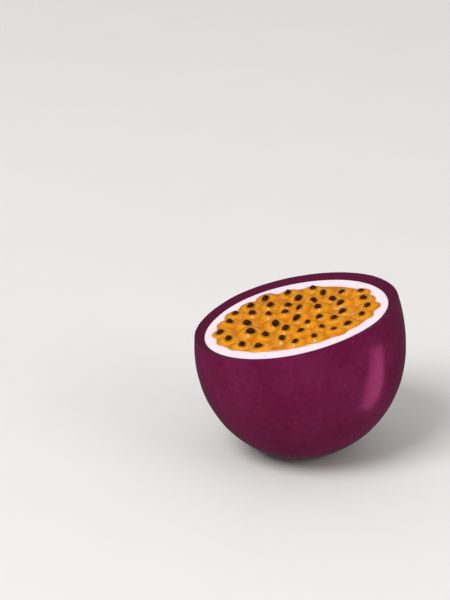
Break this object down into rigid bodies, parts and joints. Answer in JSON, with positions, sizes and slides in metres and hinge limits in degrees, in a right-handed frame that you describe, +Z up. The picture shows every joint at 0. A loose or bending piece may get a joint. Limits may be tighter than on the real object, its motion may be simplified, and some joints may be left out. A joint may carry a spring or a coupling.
{
  "type": "passion fruit half",
  "caption": "Lower half of a passion fruit cut on a slight slant: purple rind, pale pith and a filling of bulging juice sacs with a dark seed in each.",
  "frame": {"origin": "on the floor, at the middle of the small flat spot under the fruit, below the middle of the fruit's outline", "axes": "+Z up along the fruit's length, +X towards the high side of the slanted cut, +Y away from the front"},
  "size_m": [0.0519, 0.0519, 0.041],
  "materials": {
    "rind": "smooth waxy fruit skin, dark purple",
    "pith": "matte and spongy, pinkish white",
    "pulp": "wet glossy juice sacs, orange",
    "seed": "wet pitted seed coat, near black"
  },
  "bodies": {
    "root": {"shell": "rind", "pulp": "pulp"}
  },
  "joints": []
}
